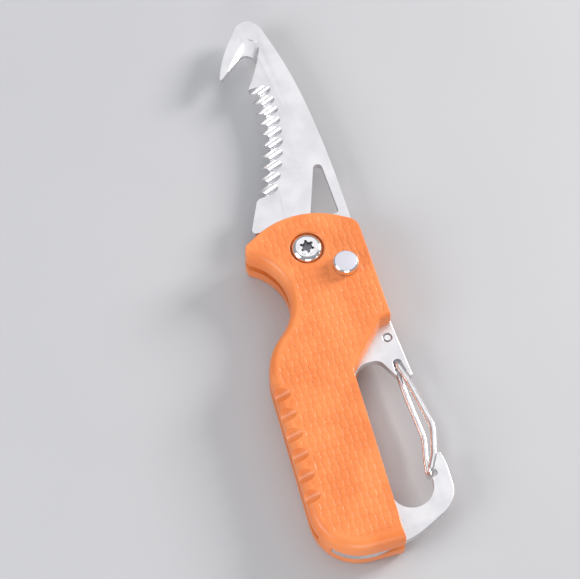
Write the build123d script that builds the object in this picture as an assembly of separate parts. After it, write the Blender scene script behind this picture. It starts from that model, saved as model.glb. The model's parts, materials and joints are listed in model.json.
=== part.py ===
"""Folding rigging knife with a hooked saw blade, a button lock and a wire-gate carabiner tail.

The model is drawn about the blade pivot: X across the handle, Y towards the blade tip,
Z up, with Z = 0 in the middle of the blade's thickness.  At the end every piece is moved
so that the origin is the middle of the underside of the whole knife.  Millimetres.
"""
import os
from math import asin, cos, degrees, hypot, pi, radians, sin, tan

from build123d import *

# ---- overall sizes -------------------------------------------------------------------
HANDLE_TAIL_Y = -79.5       # lower end of the handle, from the pivot
HANDLE_LEFT_X = -18.2       # long straight side where the blade folds in
HANDLE_RIGHT_X = 15.3       # side of the head, beside the button
GRIP_RIGHT_X = 2.2          # side of the grip along the carabiner opening
SCALE_THICKNESS = 5.25      # one orange handle half
BLADE_TIP_Y = 73.2
BLADE_THICKNESS = 2.0
FOLD_ANGLE = 171.5          # open to folded, counter-clockwise seen from the front

# ---- layers ---------------------------------------------------------------------------
WASHER_THICKNESS = 0.2
SIDE_PLAY = 0.05            # between the blade and each washer
LINER_THICKNESS = 1.0
SLOT_HALF = BLADE_THICKNESS / 2 + WASHER_THICKNESS + SIDE_PLAY
FRAME_THICKNESS = 2 * SLOT_HALF
FACE_Z = SLOT_HALF + SCALE_THICKNESS

# ---- fits -----------------------------------------------------------------------------
RUNNING_FIT = 0.05          # radial, pin or shaft in its hole
NEST_GAP = 0.05             # around a liner or an insert in its pocket
FOLD_GAP = 0.2              # between the folded blade and the frame it rests on
SWEEP_GAP = 0.8             # beyond the circle that the blade tip draws

# ---- pivot ----------------------------------------------------------------------------
BARREL_R = 2.5
PIVOT_HEAD_R = 4.0
PIVOT_HEAD_H = 1.7
PIVOT_HEAD_SUNK = 1.1       # how deep its seat lies under the front face
BARREL_HEAD_H = 1.2
BARREL_HEAD_SUNK = 1.4
PIVOT_RING_R = 2.35         # flat ring around the recess, inside the dome
PIVOT_RING_H = 0.12         # how far it stands above the dome
PIVOT_RIM_H = 0.4           # upright rim under the dome
PIVOT_BULGE = 0.16          # of the dome, as a share of its slope's length
PIVOT_SCREW_R = 1.5
DRIVE_R = 1.45              # six-lobe recess, to the middle of the lobes
DRIVE_DEPTH = 1.1
WASHER_R = 6.4

# ---- lock button ----------------------------------------------------------------------
BUTTON_X, BUTTON_Y = 8.0, -7.3
BUTTON_R = 3.12
BUTTON_PROUD = 2.4
BUTTON_TRAVEL = 2.2
COLLAR_R = 3.4
NECK_R = 2.1
SPRING_R = 2.2              # to the middle of the wire
SPRING_WIRE_R = 0.2
SPRING_TURNS = 4
SPRING_FREE = 4.3
LOCK_GAP = 0.35             # between the collar and the tang

# ---- blade ----------------------------------------------------------------------------
TANG_R = hypot(BUTTON_X, BUTTON_Y) - COLLAR_R - LOCK_GAP
STOP_PIN_R = 1.5
STOP_PIN_REACH = 10.2       # pivot to stop pin
STOP_PIN_ANGLE = 12.0
HEEL_X, HEEL_Y = -12.0, 9.9
CHOIL_X, CHOIL_Y = -8.2, 18.7       # where the heel's edge meets the saw
SAW_TEETH = 10
SAW_PITCH = 3.25
SAW_TOP_Y = 51.9
SAW_CROWN_X, SAW_CROWN_Y = -1.43, 46.8
SAW_RADIUS = 48.0           # the tooth tips lie on this round
GULLET_R = 0.9
GULLET_DOWN, GULLET_UP = 15.4, 26.0     # slopes of a gullet's upper and lower side
FLUTE_REACH = 5.8           # how far a flute runs in from its tooth tip
FLUTE_DROP = 0.9            # a flute's end lies this much below its tooth tip
FLUTE_R = 1.66
FLUTE_TURN = 7.0
FLUTE_TILT = 29.5
FLUTE_L = 24.0
HOOK_GRIND_R = 6.0          # conical stone, thick end at the crown of the hook
HOOK_GRIND_TAPER = 8.5
HOOK_GRIND_TILT = 7.0       # of the bottom of the groove
HOOK_GRIND_TURN = 58.5
HOOK_GRIND_END = (3.4, 66.9)
HOOK_GRIND_DEPTH = 0.3      # where the groove starts
HOOK_GRIND_L = 17.0

# ---- carabiner frame ------------------------------------------------------------------
OPENING_TOP_Y = -32.2
OPENING_W = 10.9
HOOK_R = 7.5                # round outside of the hook
NOSE_TOP_Y = -59.1
PRONG_Y = -38.3
PRONG_FLARE = 0.95          # the gate slot widens this much by its mouth
GATE_SLOT_X = 13.6
GATE_SLOT_W = 2.1
GATE_SLOT_END_Y = -34.2     # centre of its round end
GATE_HOLE_X, GATE_HOLE_Y = 13.3, -26.95
GATE_HOLE_R = 1.2
REST_BEYOND = 0.8           # the frame's rest runs past the folded heel's edge
STRIP_W = 1.4               # frame beside the opening, inside the grip
BRIDGE_X = -15.05           # the halves meet left of this at the tail

# ---- wire gate ------------------------------------------------------------------------
WIRE_R = 0.78
WIRE_BEND_R = 1.1           # of its sharp bends, to the middle of the wire
GATE_Z = FRAME_THICKNESS / 2 + WIRE_R + 0.15
GATE_SWING = 18.0
GATE_REACH = 29.7           # slot end to crossbar
NOSE_NOTCH_R = 1.1

# ---- fasteners ------------------------------------------------------------------------
SCREW_R = 1.2
SCREW_HEAD_R = 2.1
SCREW_HEAD_H = 1.5
SCREW_SUNK = 1.8
INSERT_R = 2.0
INSERT_L = 3.6
LINER_SCREW_R = 0.8
LINER_SCREW_HEAD_R = 1.4
LINER_SCREW_L = 3.0

# ---- grip details ---------------------------------------------------------------------
EDGE_ROUND_H = 2.3          # height over which the edges round off
GRIP_ROUND = 1.8            # how far the long side and the finger notch round in
TAIL_ROUND = 2.3
NOTCH_R = 13.7
SCALLOPS = 6
SCALLOP_PITCH = 5.35
SCALLOP_TOP_Y = -36.8
SCALLOP_R = 1.7
SCALLOP_TILT = 55.0

TIP_REACH = hypot(3.0, BLADE_TIP_Y)
OPENING_BOTTOM_Y = HANDLE_TAIL_Y + 8.4
OPENING_RIGHT_X = GRIP_RIGHT_X + OPENING_W
HOOK_RIGHT_X = 17.45
TAIL_SCREW_REACH = TIP_REACH + SWEEP_GAP + SCREW_R + 0.75


# ---- helpers --------------------------------------------------------------------------
def rounded_outline(corners, z=0.0):
    """A closed face from corners (x, y, radius), with an arc at each corner."""
    points = [(x, y, z) for x, y, _ in corners]
    radii = [r for _, _, r in corners]
    edge = FilletPolyline(*points, radius=radii, close=True)
    return make_face(edge.edges())


def prism(corners, low, high):
    """A rounded outline, solid from one height to another."""
    return extrude(rounded_outline(corners, low), amount=high - low, dir=(0, 0, 1))


def rod(x, y, radius, low, high):
    """An upright cylinder between two heights."""
    return Pos(x, y, (low + high) / 2) * Cylinder(radius, high - low)


def inset_corners(corners, insets):
    """Move each side inwards by its own inset; side i runs from corner i to the next."""
    count = len(corners)
    lines = []
    for i, (x, y, _) in enumerate(corners):
        next_x, next_y, _ = corners[(i + 1) % count]
        length = hypot(next_x - x, next_y - y)
        along = ((next_x - x) / length, (next_y - y) / length)
        inward = (along[1], -along[0])
        lines.append((x + inward[0] * insets[i], y + inward[1] * insets[i], along))
    moved = []
    for i in range(count):
        x1, y1, d1 = lines[i - 1]
        x2, y2, d2 = lines[i]
        cross = d1[0] * d2[1] - d1[1] * d2[0]
        t = ((x2 - x1) * d2[1] - (y2 - y1) * d2[0]) / cross
        inset = max(insets[i - 1], insets[i])
        radius = corners[i][2] + inset if cross > 0 else max(corners[i][2] - inset, 0.25)
        moved.append((x1 + d1[0] * t, y1 + d1[1] * t, radius))
    return moved


def turned(x, y, angle):
    """A point turned about the pivot."""
    a = radians(angle)
    return (x * cos(a) - y * sin(a), x * sin(a) + y * cos(a))


def folded(x, y):
    """Where a point of the open blade lies when the blade is folded."""
    return turned(x, y, FOLD_ANGLE)


# ---- shared outlines and places ---------------------------------------------------------
# Clockwise, from the crown of the head: (x, y, corner radius), then how far that side
# rounds in at the face.  Sides: head right, right, step, diagonal, opening, tail, grip,
# notch lower, notch upper, head left.
HANDLE = [
    (-0.6, 13.3, 22.0),
    (HANDLE_RIGHT_X - 0.6, 4.6, 4.0),
    (HANDLE_RIGHT_X, -23.1, 0.6),
    (12.0, -23.9, 2.2),
    (GRIP_RIGHT_X, -34.9, 2.2),
    (GRIP_RIGHT_X, HANDLE_TAIL_Y, 0.6),
    (HANDLE_LEFT_X, HANDLE_TAIL_Y, 12.0),
    (HANDLE_LEFT_X, -26.0, 15.0),
    (2.4, -7.8, NOTCH_R),
    (-18.0, 3.05, 2.6),
]
FRONT_ROUNDS = [0.5, 0.5, 0.8, 0.8, 0.4, TAIL_ROUND, GRIP_ROUND, GRIP_ROUND, GRIP_ROUND, 0.5]
BACK_ROUNDS = [0.5, 0.5, 0.8, 0.8, 0.4, 1.2, 1.2, 1.2, 1.2, 0.5]

LINER = [
    (-6.0, 6.6, 1.8),
    (8.6, 6.2, 3.0),
    (12.9, 2.4, 2.0),
    (13.2, -13.4, 2.0),
    (3.4, -13.4, 3.0),
    (-5.0, -5.6, 3.0),
]
LINER_SCREWS = [(-3.9, 4.6), (4.7, -11.5)]

STOP_PIN_X = STOP_PIN_REACH * cos(radians(STOP_PIN_ANGLE))
STOP_PIN_Y = STOP_PIN_REACH * sin(radians(STOP_PIN_ANGLE))
HANDLE_SCREWS = [
    (12.0, -17.2),
    (-1.4, -TAIL_SCREW_REACH),
    (-TAIL_SCREW_REACH * sin(radians(7.2)), -TAIL_SCREW_REACH * cos(radians(7.2))),
]


# ---- handle halves ----------------------------------------------------------------------
def scale_body(rounds):
    """One handle half with its drafted sides and rounded edges, on the blade's front."""
    sections = [(0.0, 0.0)]
    for angle in (0, 30, 60, 90):
        rise = SCALE_THICKNESS - EDGE_ROUND_H * (1 - sin(radians(angle)))
        sections.append((rise, 0.06 + (1 - cos(radians(angle))) * 0.94))
    faces = []
    for rise, share in sections:
        corners = inset_corners(HANDLE, [r * share for r in rounds])
        faces.append(rounded_outline(corners, SLOT_HALF + rise))
    return loft(faces, ruled=True)


def liner_pocket():
    """Room for a liner on the inner side of a handle half."""
    grown = inset_corners(LINER, [-NEST_GAP] * len(LINER))
    return prism(grown, SLOT_HALF, SLOT_HALF + LINER_THICKNESS)


def scallops():
    """Round scoops that cross the front edge of the long side, for grip."""
    tools = []
    for i in range(SCALLOPS):
        y = SCALLOP_TOP_Y - i * SCALLOP_PITCH
        place = Pos(HANDLE_LEFT_X + 1.4, y, FACE_Z + 0.34)
        tools.append(place * Rot(0, SCALLOP_TILT, 0) * Cylinder(SCALLOP_R, 10))
    return tools


def front_scale():
    scale = scale_body(FRONT_ROUNDS)
    scale -= liner_pocket()
    scale -= rod(0, 0, BARREL_R + RUNNING_FIT, SLOT_HALF - 1, FACE_Z + 1)
    scale -= rod(0, 0, PIVOT_HEAD_R + 0.3, FACE_Z - PIVOT_HEAD_SUNK, FACE_Z + 1)
    scale -= Pos(0, 0, FACE_Z - 0.2) * Cone(PIVOT_HEAD_R + 0.3, PIVOT_HEAD_R + 0.7, 0.4)
    scale -= rod(BUTTON_X, BUTTON_Y, BUTTON_R + RUNNING_FIT, SLOT_HALF - 1, FACE_Z + 1)
    scale -= rod(STOP_PIN_X, STOP_PIN_Y, STOP_PIN_R, SLOT_HALF - 1, SLOT_HALF + 2.75)
    for x, y in HANDLE_SCREWS:
        scale -= rod(x, y, INSERT_R, SLOT_HALF - 1, SLOT_HALF + INSERT_L)
    for x, y in LINER_SCREWS:
        scale -= rod(x, y, LINER_SCREW_R, SLOT_HALF - 1, SLOT_HALF + LINER_SCREW_L)
    for tool in scallops():
        scale -= tool
    return scale


def bridge():
    """The tail corner of the back half, which closes the slot up to the front half."""
    tail = inset_corners(HANDLE, [0.05] * len(HANDLE))
    block = prism(tail, -SLOT_HALF, SLOT_HALF)
    block &= Pos(BRIDGE_X - 10, HANDLE_TAIL_Y, 0) * Box(20, 40, 20)
    return block - rod(0, 0, TIP_REACH + SWEEP_GAP, -20, 20)


def back_scale():
    scale = mirror(scale_body(BACK_ROUNDS), about=Plane.XY)
    scale -= mirror(liner_pocket(), about=Plane.XY)
    scale -= rod(0, 0, BARREL_R + RUNNING_FIT, -FACE_Z - 1, -SLOT_HALF + 1)
    scale -= rod(0, 0, PIVOT_HEAD_R + 0.2, -FACE_Z - 1, -FACE_Z + BARREL_HEAD_SUNK)
    scale -= rod(BUTTON_X, BUTTON_Y, COLLAR_R + RUNNING_FIT, -FACE_Z + 1.3, -SLOT_HALF + 1)
    scale -= rod(STOP_PIN_X, STOP_PIN_Y, STOP_PIN_R, -SLOT_HALF - 2.75, -SLOT_HALF + 1)
    for x, y in HANDLE_SCREWS:
        scale -= rod(x, y, SCREW_R + RUNNING_FIT, -FACE_Z - 1, -SLOT_HALF + 1)
        scale -= rod(x, y, SCREW_HEAD_R + 0.15, -FACE_Z - 1, -FACE_Z + SCREW_SUNK)
    for x, y in LINER_SCREWS:
        scale -= rod(x, y, LINER_SCREW_R, -SLOT_HALF - LINER_SCREW_L, -SLOT_HALF + 1)
    return scale + bridge()


def liner(button_hole_r):
    """A partial steel liner that carries the pivot, the stop pin and the button."""
    plate = prism(LINER, SLOT_HALF, SLOT_HALF + LINER_THICKNESS)
    plate -= rod(0, 0, BARREL_R + RUNNING_FIT, 0, 9)
    plate -= rod(STOP_PIN_X, STOP_PIN_Y, STOP_PIN_R + 0.02, 0, 9)
    plate -= rod(BUTTON_X, BUTTON_Y, button_hole_r, 0, 9)
    for x, y in LINER_SCREWS:
        plate -= rod(x, y, LINER_SCREW_R + RUNNING_FIT, 0, 9)
        plate -= Pos(x, y, SLOT_HALF + 0.35) * Cone(
            LINER_SCREW_HEAD_R + RUNNING_FIT, LINER_SCREW_R + RUNNING_FIT, 0.7)
    return plate


# ---- carabiner frame --------------------------------------------------------------------
def frame_outline():
    """The frame's outer and inner edge as one closed line, clockwise from the head."""
    heel, choil = Vector(*folded(HEEL_X, HEEL_Y)), Vector(*folded(CHOIL_X, CHOIL_Y))
    along = (heel - choil).normalized()
    away = Vector(along.Y, -along.X) * FOLD_GAP
    rest_top = heel + away + along * REST_BEYOND
    rest_low = choil + away - along * REST_BEYOND
    slot_left = GATE_SLOT_X - GATE_SLOT_W / 2
    slot_right = GATE_SLOT_X + GATE_SLOT_W / 2
    slot_top = GATE_SLOT_END_Y + GATE_SLOT_W / 2
    slot_corner = GATE_SLOT_W / 2 - 0.02
    strip_x = GRIP_RIGHT_X - STRIP_W
    return [
        (HANDLE_RIGHT_X - 0.35, rest_top.Y, 0.8),
        (HANDLE_RIGHT_X - 0.05, -23.4, 40.0),
        (HANDLE_RIGHT_X + 1.1, PRONG_Y, 0.4),
        (slot_right + PRONG_FLARE, PRONG_Y, 0.25),
        (slot_right, slot_top, slot_corner),
        (slot_left, slot_top, slot_corner),
        (slot_left, PRONG_Y + 0.8, 0.12),
        (9.6, OPENING_TOP_Y, 2.8),
        (GRIP_RIGHT_X, OPENING_TOP_Y, 4.6),
        (GRIP_RIGHT_X, OPENING_BOTTOM_Y, OPENING_W / 2 - 0.02),
        (OPENING_RIGHT_X, OPENING_BOTTOM_Y, OPENING_W / 2 - 0.02),
        (OPENING_RIGHT_X, OPENING_BOTTOM_Y + 6.1, 1.2),
        (HOOK_RIGHT_X - 1.75, NOSE_TOP_Y, 0.5),
        (HOOK_RIGHT_X - 0.6, NOSE_TOP_Y, 0.5),
        (HOOK_RIGHT_X, NOSE_TOP_Y - 3.2, 6.0),
        (HOOK_RIGHT_X, HANDLE_TAIL_Y + 7.6, HOOK_R),
        (GRIP_RIGHT_X + 3.3, HANDLE_TAIL_Y + 1.55, 22.0),
        (GRIP_RIGHT_X - 6.2, HANDLE_TAIL_Y, 20.0),
        (HANDLE_LEFT_X, HANDLE_TAIL_Y, 12.0),
        (HANDLE_LEFT_X, -62.0, 0.5),
        (strip_x, -62.0, 0.5),
        (strip_x, rest_low.Y - 10.0, 6.0),
        (rest_low.X, rest_low.Y, 2.0),
        (rest_top.X, rest_top.Y, 0.3),
    ]


def carabiner_frame():
    frame = prism(frame_outline(), -SLOT_HALF, SLOT_HALF)
    strip_x = GRIP_RIGHT_X - STRIP_W
    blade_room = rod(0, 0, TIP_REACH + SWEEP_GAP, -9, 9)
    blade_room &= Pos(strip_x - 20, -62.0, 0) * Box(40, 60, 20)
    frame -= blade_room
    frame -= Pos(BRIDGE_X + 0.1 - 10, HANDLE_TAIL_Y, 0) * Box(20, 60, 20)
    frame -= rod(GATE_HOLE_X, GATE_HOLE_Y, GATE_HOLE_R, -9, 9)
    frame -= rod(GATE_SLOT_X, GATE_SLOT_END_Y - GATE_REACH, NOSE_NOTCH_R, -9, 9)
    for x, y in HANDLE_SCREWS:
        frame -= rod(x, y, SCREW_R + RUNNING_FIT, -9, 9)
    return frame


# ---- blade ------------------------------------------------------------------------------
def saw_tip(i):
    """Tip of one saw tooth, counted from the hook."""
    y = SAW_TOP_Y - i * SAW_PITCH
    return (SAW_CROWN_X - (y - SAW_CROWN_Y) ** 2 / (2 * SAW_RADIUS), y)


def gullet(i):
    """Where the two sides of the gullet under one tooth would meet, and its round."""
    x1, y1 = saw_tip(i)
    x2, y2 = saw_tip(i + 1)
    down, up = radians(GULLET_DOWN), radians(GULLET_UP)
    reach = ((y1 - y2) * cos(up) + (x2 - x1) * sin(up)) / sin(down + up)
    return (x1 + reach * cos(down), y1 - reach * sin(down), GULLET_R)


def wheel_place(end, turn, tilt, radius):
    """Where a tilted wheel stands whose end just reaches a point (x, y, z)."""
    a, t = radians(turn), radians(tilt)
    along = Vector(-cos(a) * cos(t), -sin(a) * cos(t), -sin(t))
    above = Vector(-cos(a) * sin(t), -sin(a) * sin(t), cos(t))
    return Plane(origin=Vector(*end) + above * radius, x_dir=above.cross(along), z_dir=along)


def saw_flute(i):
    """The round groove ground into the front face above one saw tooth."""
    x, y = saw_tip(i)
    end = (x + FLUTE_REACH, y - FLUTE_DROP, BLADE_THICKNESS / 2)
    wheel = Cylinder(FLUTE_R, FLUTE_L)
    wheel += Pos(0, FLUTE_L / 4, 0) * Box(2 * FLUTE_R, FLUTE_L / 2, FLUTE_L)
    return wheel_place(end, FLUTE_TURN, FLUTE_TILT, FLUTE_R) * wheel


def hook_grind():
    """The wide tapering groove that thins the inner edge of the hook."""
    end = (*HOOK_GRIND_END, BLADE_THICKNESS / 2 - HOOK_GRIND_DEPTH)
    thin_end = HOOK_GRIND_R - HOOK_GRIND_L * tan(radians(HOOK_GRIND_TAPER))
    stone = Pos(0, 0, HOOK_GRIND_L / 2) * Cone(HOOK_GRIND_R, thin_end, HOOK_GRIND_L)
    tilt = HOOK_GRIND_TILT + HOOK_GRIND_TAPER
    return wheel_place(end, HOOK_GRIND_TURN, tilt, HOOK_GRIND_R) * stone


def blade_outline():
    """The open blade, clockwise from the point of the hook."""
    shoulder = STOP_PIN_ANGLE + degrees(asin((STOP_PIN_R + 0.03) / STOP_PIN_REACH))
    shoulder_in = TANG_R + 1.2
    shoulder_out = 14.4
    corners = [
        (-8.55, 56.15, 0.35),
        (-6.5, 62.8, 34.0),
        (0.8, BLADE_TIP_Y, 3.9),
        (3.7, BLADE_TIP_Y, 2.4),
        (5.9, BLADE_TIP_Y - 1.5, 5.4),
        (10.6, 56.7, 135.0),
        (13.5, 29.1, 280.0),
        (13.9, 8.2, 1.0),
        (shoulder_out * cos(radians(shoulder)), shoulder_out * sin(radians(shoulder)), 0.4),
        (shoulder_in * cos(radians(shoulder)), shoulder_in * sin(radians(shoulder)), 0.5),
        (3.0, -1.0, 0.5),
        (-3.0, 3.0, 0.5),
    ]
    lock_x, lock_y = turned(BUTTON_X, BUTTON_Y, -FOLD_ANGLE)
    corners += [
        (lock_x + COLLAR_R, HEEL_Y, 0.3),
        (HEEL_X, HEEL_Y, 1.0),
        (CHOIL_X, CHOIL_Y, 0.8),
    ]
    for i in reversed(range(SAW_TEETH)):
        corners.append(gullet(i))
        corners.append((*saw_tip(i), 0.1))
    corners += [
        (1.35, 57.3, 12.0),
        (2.65, 61.5, 1.9),
        (-0.05, 63.8, 2.2),
    ]
    return corners


def blade():
    half = BLADE_THICKNESS / 2
    body = prism(blade_outline(), -half, half)
    body += rod(0, 0, TANG_R, -half, half)
    lock_x, lock_y = turned(BUTTON_X, BUTTON_Y, -FOLD_ANGLE)
    body -= rod(lock_x, lock_y, COLLAR_R + LOCK_GAP, -9, 9)
    body -= rod(0, 0, BARREL_R + RUNNING_FIT, -9, 9)
    body -= prism([(10.6, 30.9, 1.25), (11.5, 10.2, 0.9), (3.7, 10.2, 0.9)], -9, 9)
    for i in range(SAW_TEETH):
        body -= saw_flute(i)
    return body - hook_grind()


# ---- pivot, washers and stop pin ----------------------------------------------------------
def six_lobe(radius, low, high):
    """A six-lobed driver recess."""
    recess = rod(0, 0, radius * 0.86, low, high)
    for i in range(6):
        a = radians(60 * i + 30)
        recess += rod(radius * cos(a), radius * sin(a), radius * 0.27, low, high)
    return recess


def pivot_screw():
    """Domed head with a raised flat ring, and a shank that screws into the barrel."""
    seat = FACE_Z - PIVOT_HEAD_SUNK
    top = seat + PIVOT_HEAD_H
    rim = Vector(PIVOT_HEAD_R, 0, seat + PIVOT_RIM_H)
    crown = Vector(PIVOT_RING_R, 0, top - PIVOT_RING_H)
    bulge = (rim + crown) / 2 + (crown - rim).cross(Vector(0, -1, 0)) * PIVOT_BULGE
    shank_end = -SLOT_HALF - 2.0
    shank_r = PIVOT_SCREW_R - RUNNING_FIT
    profile = Polyline((crown.X, 0, crown.Z), (crown.X, 0, top), (0, 0, top), (0, 0, shank_end),
                       (shank_r, 0, shank_end), (shank_r, 0, seat), (rim.X, 0, seat), rim)
    section = make_face(profile.edges() + [ThreePointArc(rim, bulge, crown)])
    head = revolve(section, axis=Axis.Z)
    return head - six_lobe(DRIVE_R, top - DRIVE_DEPTH, top + 1)


def pivot_barrel():
    """Headed sleeve from the back; the blade turns on its outside."""
    back = -FACE_Z + BARREL_HEAD_SUNK
    sleeve = rod(0, 0, BARREL_R, back, FACE_Z - PIVOT_HEAD_SUNK - 0.3)
    sleeve += rod(0, 0, PIVOT_HEAD_R, back - BARREL_HEAD_H, back)
    sleeve -= rod(0, 0, PIVOT_SCREW_R, -SLOT_HALF - 2.4, FACE_Z)
    return sleeve - six_lobe(DRIVE_R, -FACE_Z - 1, back - BARREL_HEAD_H + DRIVE_DEPTH)


def washer(low):
    ring = rod(0, 0, WASHER_R, low, low + WASHER_THICKNESS)
    return ring - rod(0, 0, BARREL_R + RUNNING_FIT, low - 1, low + 1)


def stop_pin():
    reach = SLOT_HALF + 2.7
    pin = rod(STOP_PIN_X, STOP_PIN_Y, STOP_PIN_R - 0.01, -reach, reach)
    return chamfer(pin.edges().filter_by(GeomType.CIRCLE), 0.3)


# ---- lock button ----------------------------------------------------------------------------
def lock_button():
    """Cap, neck and lock collar in one plunger, hollow underneath for its spring."""
    top = FACE_Z + BUTTON_PROUD
    cap_low = SLOT_HALF + BUTTON_TRAVEL + 0.1
    cap = rod(BUTTON_X, BUTTON_Y, BUTTON_R, cap_low, top)
    cap = chamfer(cap.faces().sort_by(Axis.Z)[-1].edges(), 0.35)
    plunger = cap + rod(BUTTON_X, BUTTON_Y, NECK_R, 0, cap_low)
    plunger += rod(BUTTON_X, BUTTON_Y, COLLAR_R, -SLOT_HALF, SLOT_HALF - 0.06)
    return plunger - rod(BUTTON_X, BUTTON_Y, SPRING_R + 0.45, -SLOT_HALF - 1, -SLOT_HALF + 0.7)


def button_spring():
    """Open coil spring between the collar and the back half."""
    seat = -SLOT_HALF + 0.7
    low = seat - SPRING_FREE + SPRING_WIRE_R
    height = SPRING_FREE - 2 * SPRING_WIRE_R
    path = Helix(pitch=height / SPRING_TURNS, height=height, radius=SPRING_R)
    section = Plane(origin=path @ 0, z_dir=path % 0) * Circle(SPRING_WIRE_R)
    coil = sweep(section, path=path)
    return Pos(BUTTON_X, BUTTON_Y, low) * coil


# ---- wire gate ------------------------------------------------------------------------------
def wire(points, radii):
    """Round wire along straight runs joined by arcs."""
    path = FilletPolyline(*points, radius=radii)
    section = Plane(origin=path @ 0, z_dir=path % 0) * Circle(WIRE_R)
    tube = sweep(section, path=path)
    expected = path.length * pi * WIRE_R ** 2
    print(f"wire {path.length:.1f} mm long, {tube.volume:.2f} of {expected:.2f} mm3")
    return tube


GATE_FOOT_Y = GATE_SLOT_END_Y - 0.15
FRONT_LEG = [
    (GATE_SLOT_X, GATE_SLOT_END_Y, -SLOT_HALF + 0.1),
    (GATE_SLOT_X, GATE_SLOT_END_Y, 0.75),
    (GATE_SLOT_X + 1.3, GATE_SLOT_END_Y - 5.3, 1.1),
    (GATE_SLOT_X + 3.4, GATE_SLOT_END_Y - 18.6, GATE_Z),
    (GATE_SLOT_X + 1.55, GATE_SLOT_END_Y - 25.6, GATE_Z),
]
CROSSBAR = [
    (GATE_SLOT_X - 0.6, GATE_SLOT_END_Y - GATE_REACH, GATE_Z),
    (GATE_SLOT_X - 0.7, GATE_SLOT_END_Y - GATE_REACH, -GATE_Z),
]
BACK_LEG = [
    (GATE_SLOT_X - 0.15, GATE_SLOT_END_Y - 25.6, -GATE_Z),
    (GATE_SLOT_X + 1.2, GATE_SLOT_END_Y - 19.6, -GATE_Z),
    (GATE_SLOT_X + 0.3, GATE_SLOT_END_Y - 9.0, -GATE_Z),
    (GATE_SLOT_X - 0.1, GATE_FOOT_Y, -GATE_Z),
]
HEEL_WIRE = [
    (GATE_SLOT_X - 0.1, GATE_SLOT_END_Y + 0.25, -GATE_Z),
    (GATE_HOLE_X, GATE_HOLE_Y, -GATE_Z),
    (GATE_HOLE_X, GATE_HOLE_Y, SLOT_HALF - 0.1),
]


def gate_wire():
    """Both legs and the crossbar that rests in the notch of the hook's nose."""
    points = FRONT_LEG + CROSSBAR + BACK_LEG
    radii = [WIRE_BEND_R, 3.0, 8.0, 3.0, WIRE_BEND_R, WIRE_BEND_R, 3.0, 8.0, 8.0]
    return wire(points, radii)


def gate_wire_heel():
    """The fixed upper end of the back leg, bent into its hole in the frame."""
    return wire(HEEL_WIRE, [WIRE_BEND_R])


# ---- fasteners ------------------------------------------------------------------------------
def handle_screws():
    seat = -FACE_Z + SCREW_SUNK
    screws = []
    for x, y in HANDLE_SCREWS:
        screw = rod(x, y, SCREW_R, seat, SLOT_HALF + INSERT_L - 0.2)
        screw += rod(x, y, SCREW_HEAD_R, seat - SCREW_HEAD_H, seat)
        screw -= Pos(x, y, 0) * six_lobe(1.0, seat - SCREW_HEAD_H - 1, seat - SCREW_HEAD_H + 0.9)
        screws.append(screw)
    return Compound(screws)


def threaded_inserts():
    inserts = []
    for x, y in HANDLE_SCREWS:
        insert = rod(x, y, INSERT_R - 0.02, SLOT_HALF, SLOT_HALF + INSERT_L - 0.02)
        inserts.append(insert - rod(x, y, SCREW_R + RUNNING_FIT, 0, 9))
    return Compound(inserts)


def liner_screws():
    """Small countersunk screws that hold each liner in its handle half."""
    screws = []
    for x, y in LINER_SCREWS:
        shank = rod(x, y, LINER_SCREW_R - 0.02, SLOT_HALF + 0.3, SLOT_HALF + LINER_SCREW_L - 0.1)
        head = Pos(x, y, SLOT_HALF + 0.35) * Cone(LINER_SCREW_HEAD_R, LINER_SCREW_R, 0.7)
        screw = shank + head
        screw -= Pos(x, y, SLOT_HALF) * Cylinder(0.45, 0.8)
        screws.append(screw)
        screws.append(mirror(screw, about=Plane.XY))
    return Compound(screws)


# ---- assembly -------------------------------------------------------------------------------
def build():
    """Every piece by node name, about the pivot."""
    return {
        "front_scale": front_scale(),
        "back_scale": back_scale(),
        "front_liner": liner(BUTTON_R + RUNNING_FIT),
        "back_liner": mirror(liner(COLLAR_R + RUNNING_FIT), about=Plane.XY),
        "carabiner_frame": carabiner_frame(),
        "blade": blade(),
        "front_washer": washer(BLADE_THICKNESS / 2 + SIDE_PLAY),
        "back_washer": washer(-SLOT_HALF),
        "pivot_screw": pivot_screw(),
        "pivot_barrel": pivot_barrel(),
        "stop_pin": stop_pin(),
        "lock_button": lock_button(),
        "button_spring": button_spring(),
        "gate_wire": gate_wire(),
        "gate_wire_heel": gate_wire_heel(),
        "handle_screws": handle_screws(),
        "threaded_inserts": threaded_inserts(),
        "liner_screws": liner_screws(),
    }


def main():
    pieces = build()
    box = Compound(list(pieces.values())).bounding_box()
    shift = Vector(-(box.min.X + box.max.X) / 2, -(box.min.Y + box.max.Y) / 2, -box.min.Z)
    print(f"pivot at {shift.X:.3f}, {shift.Y:.3f}, {shift.Z:.3f}; size {box.size}")
    os.makedirs("parts", exist_ok=True)
    for name, piece in pieces.items():
        export_step(Pos(shift) * piece, f"parts/{name}.step")
    return shift


SHIFT = main()
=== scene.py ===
# %% [markdown]
# # Dressing a folding rigging knife
#
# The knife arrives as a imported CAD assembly: two nylon handle halves, a steel carabiner
# frame, a hooked saw blade, a pivot, a lock button and a wire gate.  Its shapes and its
# joints are right, but every surface is bare.  This lesson gives the pieces their last
# millimetre: the woven grip, the broken edges of stamped steel, the one-piece gate wire,
# and a finish for each metal.
#
# They stay where they are. A new piece rides on one of the CAD bodies, and may stand in
# for the CAD piece that it was made from.

import json
from math import cos, radians, sin

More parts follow.
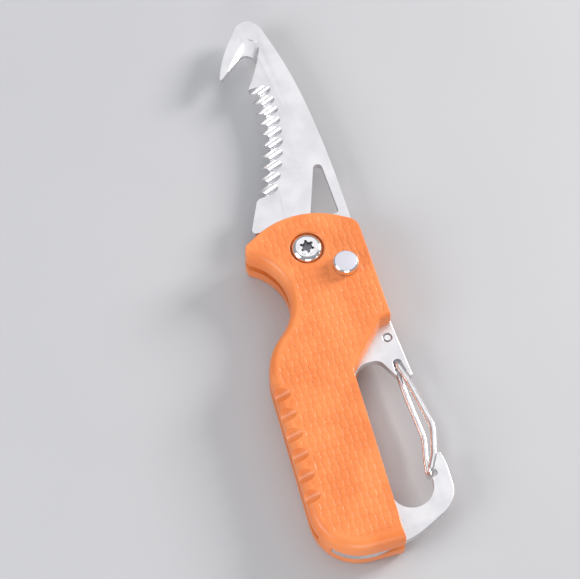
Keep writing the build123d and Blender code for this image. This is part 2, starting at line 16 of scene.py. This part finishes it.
import bpy
import numpy as np
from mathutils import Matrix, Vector


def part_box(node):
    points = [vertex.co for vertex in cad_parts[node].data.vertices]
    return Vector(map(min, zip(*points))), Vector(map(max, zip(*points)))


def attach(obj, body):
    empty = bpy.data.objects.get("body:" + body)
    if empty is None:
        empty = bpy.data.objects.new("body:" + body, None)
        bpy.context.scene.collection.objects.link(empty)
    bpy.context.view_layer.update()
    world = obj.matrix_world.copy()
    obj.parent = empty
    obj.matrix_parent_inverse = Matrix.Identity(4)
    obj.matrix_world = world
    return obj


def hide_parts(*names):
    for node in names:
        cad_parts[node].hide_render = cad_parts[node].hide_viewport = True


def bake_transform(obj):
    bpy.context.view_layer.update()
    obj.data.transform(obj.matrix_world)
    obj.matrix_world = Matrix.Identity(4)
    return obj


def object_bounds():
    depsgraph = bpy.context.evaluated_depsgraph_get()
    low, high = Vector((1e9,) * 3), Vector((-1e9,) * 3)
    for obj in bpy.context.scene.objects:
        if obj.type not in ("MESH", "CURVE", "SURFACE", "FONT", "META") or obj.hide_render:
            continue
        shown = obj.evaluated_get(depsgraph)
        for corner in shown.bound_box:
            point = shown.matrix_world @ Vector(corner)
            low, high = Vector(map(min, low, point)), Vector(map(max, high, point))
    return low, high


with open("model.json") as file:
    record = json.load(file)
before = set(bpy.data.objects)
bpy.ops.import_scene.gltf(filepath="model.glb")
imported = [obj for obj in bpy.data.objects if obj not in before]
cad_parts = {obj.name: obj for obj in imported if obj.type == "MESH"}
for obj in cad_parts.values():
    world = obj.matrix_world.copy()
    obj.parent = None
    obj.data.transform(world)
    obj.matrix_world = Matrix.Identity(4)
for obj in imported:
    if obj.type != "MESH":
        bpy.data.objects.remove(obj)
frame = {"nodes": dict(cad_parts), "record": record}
CAD_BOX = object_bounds()
MM = 0.001

# %% [markdown]
# ## Places to work from
#
# Every place comes from the boxes of the CAD pieces.  The middle of the pivot barrel is
# the natural origin of a folding knife, and the middle of the blade's thickness is its
# natural height.

# %% Find the pivot and the button


def middle(node):
    """The middle of a CAD piece's box."""
    low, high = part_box(node)
    return (low + high) / 2


PIVOT = middle("pivot_barrel")
PIVOT.z = middle("blade").z
BUTTON = middle("lock_button")
FRONT_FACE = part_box("front_scale")[1].z
BACK_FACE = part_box("back_scale")[0].z
print(f"pivot {PIVOT[:]}, faces at {BACK_FACE:.4f} and {FRONT_FACE:.4f}")

# %% [markdown]
# ## Camera
#
# A knife is shown best lying flat and seen from rather high, with the handle towards the
# viewer.  A long lens keeps the blade and the carabiner in proportion.

# %% Camera
VIEW_ELEVATION = radians(64.5)
VIEW_AZIMUTH = radians(15.34)
VIEW_DISTANCE = 0.45458
LENS = 111.7                # both in millimetres
SENSOR_WIDTH = 36
LOOK_AT = PIVOT + Vector((-6.43, -7.22, 0)) * MM

forward = Vector((
    sin(VIEW_AZIMUTH) * cos(VIEW_ELEVATION),
    cos(VIEW_AZIMUTH) * cos(VIEW_ELEVATION),
    -sin(VIEW_ELEVATION),
))
bpy.ops.object.camera_add(location=LOOK_AT - forward * VIEW_DISTANCE)
camera = bpy.context.object
camera.rotation_euler = forward.to_track_quat("-Z", "Y").to_euler()
camera.data.lens = LENS
camera.data.sensor_width = SENSOR_WIDTH
camera.data.clip_start = 0.01
bpy.context.scene.camera = camera
print("camera at", tuple(round(c, 4) for c in camera.location))

# %% [markdown]
# ## Floor and light
#
# Steel shows what it reflects, so the light is part of its finish.  One wide soft box
# stands where the flat of the blade mirrors it to the viewer, and makes the steel light
# and even.  Three smaller ones reach the side walls and draw highlights along the round
# edges and the wire, and a pale floor fills the shadows.

# %% Floor and light
WORLD_COLOUR = (0.80, 0.81, 0.84, 1)
WORLD_STRENGTH = 0.45
FLOOR_SIZE = 4.0


def soft_box(name, place, size, power, colour):
    """A square area light that faces the pivot."""
    bpy.ops.object.light_add(type="AREA", location=PIVOT + Vector(place))
    light = bpy.context.object
    light.name = name
    light.rotation_euler = (-Vector(place)).to_track_quat("-Z", "Y").to_euler()
    light.data.size = size
    light.data.energy = power
    light.data.color = colour


soft_box("sky_light", (0.10, 0.36, 0.78), 1.0, 2.3, (1.0, 0.98, 0.99))
soft_box("right_light", (0.66, 0.16, 0.34), 0.26, 6.5, (1.0, 0.97, 0.95))
soft_box("left_light", (-0.62, -0.10, 0.42), 0.40, 3.2, (0.97, 0.98, 1.0))
soft_box("front_light", (-0.10, -0.75, 0.26), 0.36, 2.6, (1.0, 0.99, 0.98))

world = bpy.data.worlds.new("studio")
bpy.context.scene.world = world
world.use_nodes = True
background = world.node_tree.nodes["Background"]
background.inputs["Color"].default_value = WORLD_COLOUR
background.inputs["Strength"].default_value = WORLD_STRENGTH
bpy.context.scene.view_settings.view_transform = "Standard"

bpy.ops.mesh.primitive_plane_add(size=FLOOR_SIZE, location=(0, 0, CAD_BOX[0][2]))
floor = bpy.context.object
floor.name = "floor"
print(len(bpy.data.lights), "lights over a floor at", round(floor.location.z, 4))

# %% [markdown]
# ## A small language for finishes
#
# A material is a network of nodes, but it is easier to read as arithmetic.  This class
# holds one socket.  Adding to it, multiplying it or taking it from a number adds the Math
# node that does so, and its `node` method makes any other node from its settings and its
# inputs.

# %% Material helpers


class Value:
    """One socket of a material; arithmetic on it adds Math nodes."""

    def __init__(self, tree, socket=None):
        self.tree = tree
        self.socket = socket

    def node(self, kind, settings, inputs, output=0):
        """Add a node, set it up, feed its sockets and give one of its outputs."""
        made = self.tree.nodes.new("ShaderNode" + kind)
        for name, setting in settings.items():
            setattr(made, name, setting)
        for name, value in inputs.items():
            if isinstance(value, Value):
                self.tree.links.new(value.socket, made.inputs[name])
            else:
                made.inputs[name].default_value = value
        return Value(self.tree, made.outputs[output])

    def math(self, operation, a, b=0.0):
        return self.node("Math", {"operation": operation}, {0: a, 1: b})

    def __add__(self, other):
        return self.math("ADD", self, other)

    def __rsub__(self, other):
        return self.math("SUBTRACT", other, self)

    def __mul__(self, other):
        return self.math("MULTIPLY", self, other)

    __radd__ = __add__
    __rmul__ = __mul__

    def sine(self):
        return self.math("SINE", self)

    def step(self, low, high):
        """0 below low, 1 above high, and smooth between."""
        settings = {"interpolation_type": "SMOOTHSTEP"}
        return self.node("MapRange", settings, {"Value": self, "From Min": low, "From Max": high})

    def mix(self, a, b):
        """Colour a where this is 0, colour b where it is 1."""
        return self.node("Mix", {"data_type": "RGBA"}, {0: self, 6: a, 7: b}, output=2)

    def noise(self, size, detail=2.0, roughness=0.5):
        """Cloudy noise over a vector, its patches about this size in metres."""
        inputs = {"Vector": self, "Scale": 1 / size, "Detail": detail, "Roughness": roughness}
        return self.node("TexNoise", {}, inputs)

    def stretched(self, x, y, z):
        """The same place with each axis scaled, so that noise on it turns to streaks."""
        return self.node("Mapping", {}, {"Vector": self, "Scale": (x, y, z)})

    def bump(self, distance, strength):
        """A Bump node with this as its height."""
        inputs = {"Height": self, "Distance": distance, "Strength": strength}
        return self.node("Bump", {}, inputs)


FINISHES = {}


def finish(name, metallic, colour, roughness, normal=None):
    """Wire the last values of a finish to its shader."""
    tree = colour.tree
    shader = tree.nodes["Principled BSDF"]
    varying = {"Base Color": colour, "Roughness": roughness}
    if normal is not None:
        varying["Normal"] = normal
    for socket, value in varying.items():
        tree.links.new(value.socket, shader.inputs[socket])
    shader.inputs["Metallic"].default_value = metallic
    print("finish", name, "with", len(tree.nodes), "nodes")


def new_finish(name):
    """A new material, kept by name, and the place on the piece that its patterns read."""
    material = bpy.data.materials.new(name)
    material.use_nodes = True
    FINISHES[name] = material
    start = Value(material.node_tree)
    return start.node("TexCoord", {}, {}, output="Object")


def rgb(red, green, blue):
    return (red, green, blue, 1.0)


# %% [markdown]
# ## Orange nylon
#
# The handle halves are moulded from glass-filled nylon.  Its skin is never one flat
# orange: the fibres make faint lighter flecks, the colour drifts a little from place to
# place, and handling polishes it unevenly.  The woven grip itself is modelled, so the
# material only adds the fine spark grain of the mould.

# %% Orange nylon
NYLON = rgb(0.76, 0.230, 0.062)
NYLON_DEEP = rgb(0.70, 0.185, 0.042)
NYLON_PALE = rgb(0.80, 0.32, 0.14)

place = new_finish("orange_nylon")
drift = place.noise(9 * MM, 3.0).step(0.35, 0.65)
fleck = place.noise(0.35 * MM, 2.0).step(0.60, 0.74)
colour = (0.35 * fleck).mix(drift.mix(NYLON_DEEP, NYLON), NYLON_PALE)
roughness = 0.33 + 0.10 * place.noise(3 * MM) + 0.06 * fleck
grain = place.noise(0.16 * MM, 3.0, 0.6)
finish("orange_nylon", 0.0, colour, roughness, grain.bump(0.02 * MM, 0.5))

# %% [markdown]
# ## Blade and frame steel
#
# Both are stamped from stainless sheet.  The blade is bead blasted: fine and even, with
# faint clouds where the jet passed.  The frame was tumbled, which leaves small random
# scuffs and a few tiny pits.

# %% Blade and frame steel
STEEL = rgb(0.80, 0.80, 0.815)
STEEL_DULL = rgb(0.70, 0.70, 0.72)

place = new_finish("blade_steel")
cloud = place.noise(7 * MM, 3.0)
streak = place.stretched(1.0, 0.12, 1.0).noise(0.5 * MM, 2.0)
colour = cloud.step(0.3, 0.7).mix(STEEL_DULL, STEEL)
roughness = 0.30 + 0.08 * cloud + 0.05 * streak
grain = place.noise(0.09 * MM, 2.0, 0.7)
finish("blade_steel", 1.0, colour, roughness, grain.bump(0.006 * MM, 0.5))

place = new_finish("frame_steel")
cloud = place.noise(5 * MM, 3.0)
scuff = place.stretched(0.3, 1.0, 1.0).noise(0.25 * MM, 2.0).step(0.58, 0.70)
pit = place.noise(0.8 * MM, 1.0).step(0.76, 0.80)
colour = (cloud.step(0.3, 0.7) * (1 - pit)).mix(STEEL_DULL, STEEL)
roughness = 0.31 + 0.08 * cloud + 0.06 * scuff
relief = (scuff * 0.5 + pit * -1.0).bump(0.01 * MM, 0.5)
finish("frame_steel", 1.0, colour, roughness, relief)

# %% [markdown]
# ## Turned, drawn and plain metals
#
# The pivot screw is turned and polished, and the dark of its six-lobe recess is painted shade.
# The gate is drawn spring wire, the button is faced on a lathe with a polished rim, the liners
# are plain blanked steel, and the washers and inserts are bronze and brass.

# %% Turned, drawn and plain metals


def round_about(place, centre):
    """Distance of each point from an upright axis."""
    turned = place.node("Mapping", {}, {
        "Vector": place,
        "Location": (-centre.x, -centre.y, 0),
        "Scale": (1, 1, 0),
    })
    return place.node("VectorMath", {"operation": "LENGTH"}, {0: turned}, output="Value")


LATHE_RINGS = 40000         # waves of turning marks, in radians per metre
BUTTON_FACE_R = 2.70 * MM   # where the button's satin face ends
BUTTON_RIM_R = 2.80 * MM    # where its polished rim starts
RECESS_R = 1.9 * MM         # widest reach of the six-lobe recess
RECESS_SOFT = 0.1 * MM      # how far its painted shade takes to start
RECESS_DEEP = 0.7 * MM      # how deep its painted shade is complete
SCREW_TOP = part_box("pivot_screw")[1].z
BARREL_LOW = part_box("pivot_barrel")[0].z

place = new_finish("polished_steel")
radius = round_about(place, PIVOT)
height = place.node("SeparateXYZ", {}, {0: place}, output="Z")
under_top = 1 - height.step(SCREW_TOP - RECESS_DEEP, SCREW_TOP - RECESS_SOFT)
above_low = height.step(BARREL_LOW + RECESS_SOFT, BARREL_LOW + RECESS_DEEP)
# painted shade: the six-lobe recess is coloured near black and made rougher
recess_shade = (1 - radius.step(RECESS_R - RECESS_SOFT, RECESS_R)) * under_top * above_low
wear = place.noise(1.2 * MM, 3.0)
polish = wear.step(0.3, 0.7).mix(rgb(0.78, 0.78, 0.80), rgb(0.88, 0.88, 0.89))
colour = recess_shade.mix(polish, rgb(0.20, 0.20, 0.22))
rings = (radius * LATHE_RINGS).sine()
roughness = 0.10 + 0.08 * wear + 0.3 * recess_shade
finish("polished_steel", 1.0, colour, roughness, rings.bump(0.002 * MM, 0.3))

place = new_finish("gate_steel")
drawn = place.stretched(1.0, 0.08, 1.0).noise(0.15 * MM, 2.0)
wear = place.noise(2.5 * MM, 2.0)
colour = wear.step(0.3, 0.7).mix(rgb(0.76, 0.75, 0.77), rgb(0.86, 0.86, 0.87))
finish("gate_steel", 1.0, colour, 0.12 + 0.10 * drawn, drawn.bump(0.004 * MM, 0.3))

place = new_finish("button_steel")
radius = round_about(place, BUTTON)
satin = 1 - radius.step(BUTTON_FACE_R, BUTTON_RIM_R)
facing = (radius * LATHE_RINGS).sine()
cloud = place.noise(1.5 * MM, 2.0)
colour = satin.mix(rgb(0.86, 0.85, 0.86), rgb(0.70, 0.70, 0.76))
roughness = 0.12 + 0.22 * satin + 0.06 * cloud
finish("button_steel", 1.0, colour, roughness, (facing * satin).bump(0.002 * MM, 0.4))


def plain_metal(name, light, dark, rough):
    """A blanked or drawn metal with clouds of tarnish and fine scratches."""
    place = new_finish(name)
    tarnish = place.noise(1.5 * MM, 3.0)
    scratch = place.stretched(1.0, 0.15, 1.0).noise(0.2 * MM, 2.0)
    colour = tarnish.step(0.35, 0.65).mix(dark, light)
    finish(name, 1.0, colour, rough + 0.15 * tarnish, scratch.bump(0.005 * MM, 0.4))


plain_metal("liner_steel", rgb(0.62, 0.62, 0.63), rgb(0.50, 0.50, 0.52), 0.28)
plain_metal("spring_steel", rgb(0.50, 0.50, 0.52), rgb(0.38, 0.38, 0.41), 0.25)
plain_metal("bronze", rgb(0.72, 0.50, 0.26), rgb(0.58, 0.38, 0.18), 0.30)
plain_metal("black_screw", rgb(0.06, 0.06, 0.065), rgb(0.03, 0.03, 0.035), 0.35)

# %% [markdown]
# ## Dressing the CAD pieces
#
# Each CAD piece names a material slot in the record, so one loop gives every piece its
# finish.  Pieces made later take the same finishes.  The floor gets a plain grey paint.

# %% Give each CAD piece its finish
SLOTS = {part["node"]: part["material_slot"] for part in frame["record"]["subparts"]}


def coat(piece, slot):
    """Give a piece one finish, all over."""
    piece.data.materials.clear()
    piece.data.materials.append(FINISHES[slot])


for node, slot in SLOTS.items():
    coat(frame["nodes"][node], slot)
print("dressed", len(SLOTS), "CAD pieces")

place = new_finish("floor_paint")
mottle = place.noise(0.05, 2.0)
colour = mottle.mix(rgb(0.43, 0.435, 0.45), rgb(0.45, 0.455, 0.47))
finish("floor_paint", 0.0, colour, 0.45 + 0.1 * mottle)
coat(floor, "floor_paint")

# %% [markdown]
# ## Copies to work on
#
# A CAD piece is loose triangles and has to stay as it is.  A piece that needs more detail
# starts as a copy of it, with its triangles sewn together, so that edit mode sees whole
# faces and edges.  The copy then stands in for the CAD piece.

# %% Copy and select
SEAM = 0.0005 * MM          # corners closer than this are one corner


def sewn_copy(node, name):
    """A copy of a CAD piece with its loose triangles sewn together."""
    bpy.ops.object.select_all(action="DESELECT")
    source = frame["nodes"][node]
    piece = bpy.data.objects.new(name, source.data.copy())
    bpy.context.collection.objects.link(piece)
    bpy.context.view_layer.objects.active = piece
    piece.select_set(True)
    bpy.ops.object.mode_set(mode="EDIT")
    bpy.ops.mesh.select_all(action="SELECT")
    bpy.ops.mesh.remove_doubles(threshold=SEAM)
    bpy.ops.mesh.customdata_custom_splitnormals_clear()
    bpy.ops.mesh.select_all(action="DESELECT")
    bpy.ops.object.mode_set(mode="OBJECT")
    return piece


def face_values(piece):
    """The middle and the normal of each face, as two arrays."""
    count = len(piece.data.polygons)
    middles, normals = np.zeros(count * 3), np.zeros(count * 3)
    piece.data.polygons.foreach_get("center", middles)
    piece.data.polygons.foreach_get("normal", normals)
    return middles.reshape(-1, 3), normals.reshape(-1, 3)


def edit_faces(piece, chosen):
    """Go to edit mode with just these faces selected."""
    bpy.context.tool_settings.mesh_select_mode = (False, False, True)
    piece.data.polygons.foreach_set("select", chosen)
    bpy.ops.object.mode_set(mode="EDIT")


def stand_in(piece, node, body, smooth):
    """The finished piece takes the CAD piece's place, body and finish."""
    bpy.ops.object.shade_smooth_by_angle(angle=radians(smooth))
    coat(piece, SLOTS[node])
    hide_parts(node)
    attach(piece, body)
    print(piece.name, "has", len(piece.data.polygons), "faces")


# %% [markdown]
# ## Woven grip
#
# The mould gives each flat face of the handle the relief of a plain weave: low rounded
# pads, each crowned one way, beside pads crowned the other way.  Displacing a remeshed
# block would blur the crisp rims of the pivot seat and the grip scoops, so the face is
# scored instead.  Straight bisect cuts follow the yarns across the face, and each new
# corner then sinks to the height of the weave below it.  Near the rims of the face the
# weave fades out, as the mould maker leaves a smooth border there.

# %% Score and sink the weave
YARN_X = 1.70 * MM
YARN_Y = 2.05 * MM
WEAVE_DEPTH = 0.23 * MM
WEAVE_BORDER = 0.55 * MM
WEAVE_FULL = 1.0 * MM       # from the rim to where the weave has its whole depth
YARN_GAP = 0.035            # share of a yarn that its steep side takes
CROWN_CUTS = (-0.25, 0.0, 0.25)
CROWN_SHARE = 0.80          # share of the depth that a yarn's round back takes
RUN_SHARE = 0.20            # share that it dips towards its ends
FACE_NORMAL = 0.999         # how squarely a face looks out to belong to the flat face
FACE_SLACK = 0.01 * MM      # and how near to its height it lies
NYLON_FLAT = 0.5            # degrees, below which neighbouring triangles are one face
CUT_MERGE = 1e-8            # metres, a cut this near to a corner goes through it
NYLON_SMOOTH = 35           # degrees, below which neighbouring faces shade as one


def yarn_lines(low, high, start, yarn):
    """Where to cut across the yarns: both sides of each gap, and along each crown."""
    lines = []
    first = int(np.floor((low - start) / yarn))
    last = int(np.ceil((high - start) / yarn))
    for i in range(first, last):
        for share in (YARN_GAP - 0.5, *CROWN_CUTS, 0.5 - YARN_GAP):
            lines.append(start + (i + 0.5 + share) * yarn)
    return [line for line in lines if low < line < high]


def weave_height(x, y):
    """0 at the crown of a yarn and -1 at its foot."""
    across, along = (x - PIVOT.x) / YARN_X, (y - PIVOT.y) / YARN_Y
    u, v = across - np.floor(across) - 0.5, along - np.floor(along) - 0.5
    lengthwise = (np.floor(across) + np.floor(along)) % 2 == 0
    crown = np.where(lengthwise, u, v)
    run = np.where(lengthwise, v, u)
    return -CROWN_SHARE * (2 * crown) ** 2 - RUN_SHARE * (2 * run) ** 2


def rim_of(piece, chosen):
    """Both ends of each edge around the chosen faces."""
    seen = {}
    for i in np.flatnonzero(chosen):
        for key in piece.data.polygons[i].edge_keys:
            seen[key] = seen.get(key, 0) + 1
    ends = [key for key, count in seen.items() if count == 1]
    places = [[piece.data.vertices[i].co.xy[:] for i in key] for key in ends]
    return np.array(places)


def rim_distance(points, rim):
    """How far each point lies from the nearest edge of a rim."""
    nearest = np.full(len(points), np.inf)
    for a, b in rim:
        run = b - a
        share = np.clip((points - a) @ run / max(run @ run, 1e-18), 0, 1)
        nearest = np.minimum(nearest, np.linalg.norm(points - a - share[:, None] * run, axis=1))
    return nearest


def weave(piece, face_z, side):
    """Press the weave into the flat face at this height; side is 1 in front, -1 behind."""
    middles, normals = face_values(piece)
    flat = (normals[:, 2] * side > FACE_NORMAL) & (abs(middles[:, 2] - face_z) < FACE_SLACK)
    rim = rim_of(piece, flat)
    edit_faces(piece, flat)
    bpy.ops.mesh.dissolve_limited(angle_limit=radians(NYLON_FLAT))
    bpy.ops.mesh.hide(unselected=True)
    low, high = piece.bound_box[0], piece.bound_box[6]
    for axis, yarn in ((0, YARN_X), (1, YARN_Y)):
        normal = [0.0, 0.0, 0.0]
        normal[axis] = 1.0
        for line in yarn_lines(low[axis], high[axis], PIVOT[axis], yarn):
            bpy.ops.mesh.select_all(action="SELECT")
            point = [line * n for n in normal]
            bpy.ops.mesh.bisect(plane_co=point, plane_no=normal, threshold=CUT_MERGE)
    bpy.ops.mesh.select_all(action="SELECT")
    bpy.ops.object.mode_set(mode="OBJECT")
    count = len(piece.data.vertices)
    places, pressed = np.zeros(count * 3), np.zeros(count, bool)
    piece.data.vertices.foreach_get("co", places)
    piece.data.vertices.foreach_get("select", pressed)
    places = places.reshape(-1, 3)
    woven = places[pressed]
    fade = (rim_distance(woven[:, :2], rim) - WEAVE_BORDER) / (WEAVE_FULL - WEAVE_BORDER)
    sunk = weave_height(woven[:, 0], woven[:, 1]) * WEAVE_DEPTH * np.clip(fade, 0, 1)
    places[pressed, 2] += side * sunk
    piece.data.vertices.foreach_set("co", places.ravel())
    bpy.ops.object.mode_set(mode="EDIT")
    bpy.ops.mesh.reveal(select=False)
    bpy.ops.object.mode_set(mode="OBJECT")
    print(f"{piece.name}: {pressed.sum()} corners pressed into the weave")


front_grip = sewn_copy("front_scale", "front_grip")
weave(front_grip, FRONT_FACE, 1)
stand_in(front_grip, "front_scale", "handle", NYLON_SMOOTH)

back_grip = sewn_copy("back_scale", "back_grip")
weave(back_grip, BACK_FACE, -1)
stand_in(back_grip, "back_scale", "handle", NYLON_SMOOTH)

# %% [markdown]
# ## Broken edges
#
# No stamped or turned edge is truly sharp: tumbling and a touch of the wheel leave a
# fine bright line along it.  Each flat face is first made whole again, and a narrow bevel
# on every sharp edge then catches the light in the same way.

# %% Break the edges of the steel
STEEL_SMOOTH = 20           # degrees, below which neighbouring faces shade as one
STEEL_FLAT = 0.1            # degrees, below which neighbouring triangles are one face
SHARP_EDGE = 30             # degrees, above which an edge is broken


def broken_edges(node, name, body, width, segments=2):
    """A stand-in for a CAD piece with a fine bevel along its sharp edges."""
    piece = sewn_copy(node, name)
    bpy.ops.object.mode_set(mode="EDIT")
    bpy.ops.mesh.select_all(action="SELECT")
    bpy.ops.mesh.dissolve_limited(angle_limit=radians(STEEL_FLAT))
    bpy.ops.object.mode_set(mode="OBJECT")
    bpy.ops.object.modifier_add(type="BEVEL")
    bevel = piece.modifiers[-1]
    bevel.width = width
    bevel.segments = segments
    bevel.limit_method = "ANGLE"
    bevel.angle_limit = radians(SHARP_EDGE)
    bevel.use_clamp_overlap = True
    bpy.ops.object.modifier_apply(modifier=bevel.name)
    stand_in(piece, node, body, STEEL_SMOOTH)


broken_edges("blade", "hooked_blade", "blade", 0.07 * MM)
broken_edges("carabiner_frame", "stamped_frame", "handle", 0.10 * MM)
broken_edges("lock_button", "turned_button", "button", 0.06 * MM)
broken_edges("pivot_screw", "pivot_head", "handle", 0.10 * MM, 3)
broken_edges("pivot_barrel", "pivot_sleeve", "handle", 0.10 * MM, 3)
broken_edges("handle_screws", "scale_screws", "handle", 0.08 * MM)

# %% [markdown]
# ## One springy wire
#
# The gate is a single piece of spring wire: its lower part swings, its upper end sits in
# the frame, and the stretch between them twists.  The CAD model has to cut it in two
# there.  Both parts are joined, the two end caps that face each other are deleted, and
# the open ends are bridged.

# %% Join the gate wire
WIRE_CUT = 0.4 * MM         # gap between the two parts of the wire
WIRE_SMOOTH = 45            # degrees, below which neighbouring faces shade as one
CAP_NORMAL = 0.98           # how squarely an end cap looks along the wire

heel_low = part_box("gate_wire_heel")[0]
cut = heel_low.y - WIRE_CUT / 2
heel = sewn_copy("gate_wire_heel", "wire_heel")
gate = sewn_copy("gate_wire", "sprung_wire")
heel.select_set(True)
bpy.ops.object.join()

middles, normals = face_values(gate)
caps = (abs(normals[:, 1]) > CAP_NORMAL) & (abs(middles[:, 1] - cut) < WIRE_CUT)
edit_faces(gate, caps)
bpy.ops.mesh.delete(type="ONLY_FACE")
bpy.ops.mesh.select_mode(type="EDGE")
bpy.ops.mesh.select_non_manifold(
    extend=False, use_wire=False, use_boundary=True,
    use_multi_face=False, use_non_contiguous=False, use_verts=False)
bpy.ops.mesh.bridge_edge_loops()
bpy.ops.object.mode_set(mode="OBJECT")
bpy.ops.object.shade_smooth_by_angle(angle=radians(WIRE_SMOOTH))

coat(gate, "gate_steel")
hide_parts("gate_wire", "gate_wire_heel")
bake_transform(gate)
print(f"{caps.sum()} cap faces bridged; the wire has {len(gate.data.polygons)} faces")
